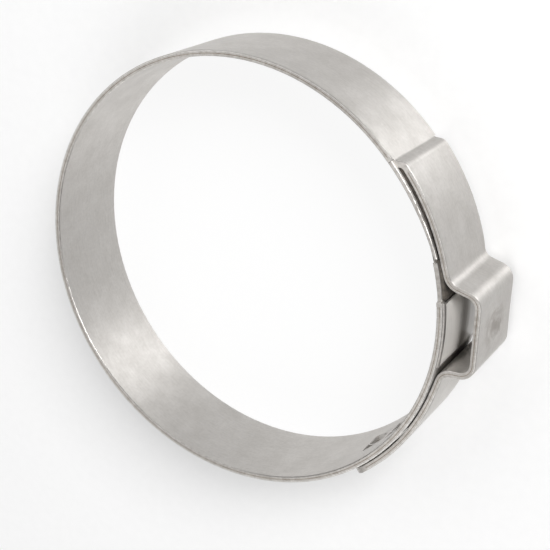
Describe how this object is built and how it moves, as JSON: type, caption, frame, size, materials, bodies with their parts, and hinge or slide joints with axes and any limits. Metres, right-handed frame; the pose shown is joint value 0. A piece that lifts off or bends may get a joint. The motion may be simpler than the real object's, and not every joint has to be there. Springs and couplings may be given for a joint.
{
  "type": "ear hose clamp",
  "caption": "Stepless ear hose clamp: flat steel band rolled into a ring, with a crimping ear, a hidden tongue under it and pressed hooks locking the overlap.",
  "frame": {"origin": "centre of the ring, in the plane of the band edge that it lies on", "axes": "+Z along the ring's axis, +X through the middle of the ear, +Y towards the step and away from the hooks"},
  "size_m": [0.0463, 0.0432, 0.009],
  "materials": {
    "stainless_band": "satin rolled stainless strip with fine grain along its length and slit edges"
  },
  "bodies": {
    "root": {"clamp_band": "stainless_band"}
  },
  "joints": []
}
